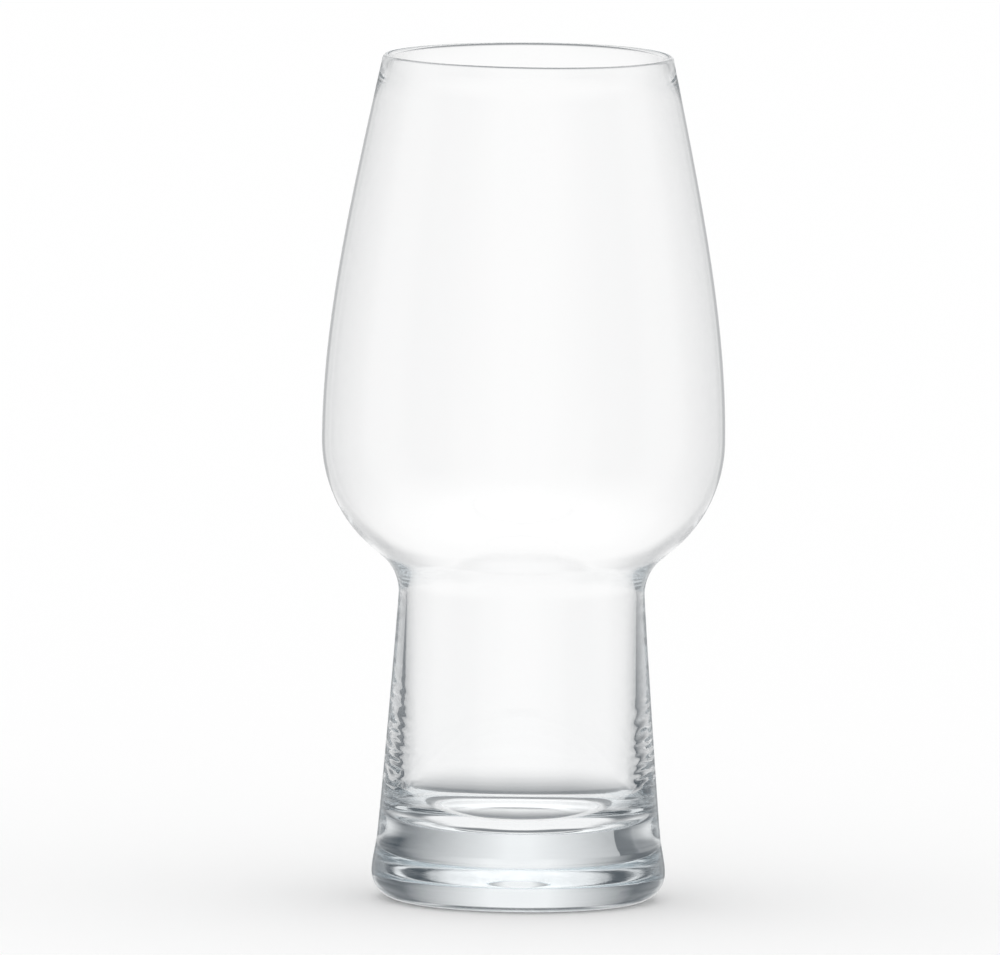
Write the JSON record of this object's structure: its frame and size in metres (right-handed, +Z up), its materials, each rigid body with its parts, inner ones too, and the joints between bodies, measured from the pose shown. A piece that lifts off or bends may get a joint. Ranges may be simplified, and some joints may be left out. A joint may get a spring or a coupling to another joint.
{
  "type": "beer glass",
  "caption": "Clear beer glass with a thin rounded bowl narrowing to a polished rim, on a hollow thick-walled stem and a solid flared foot, for drinking.",
  "frame": {"origin": "on the glass's axis, in the plane of the table that the foot stands on", "axes": "+Z up along the glass's axis towards the rim; X and Y are free because the glass is round"},
  "size_m": [0.08, 0.08, 0.168],
  "materials": {
    "glass": "clear, fire-polished"
  },
  "bodies": {
    "root": {"bowl": "glass", "stem": "glass", "foot": "glass"}
  },
  "joints": []
}
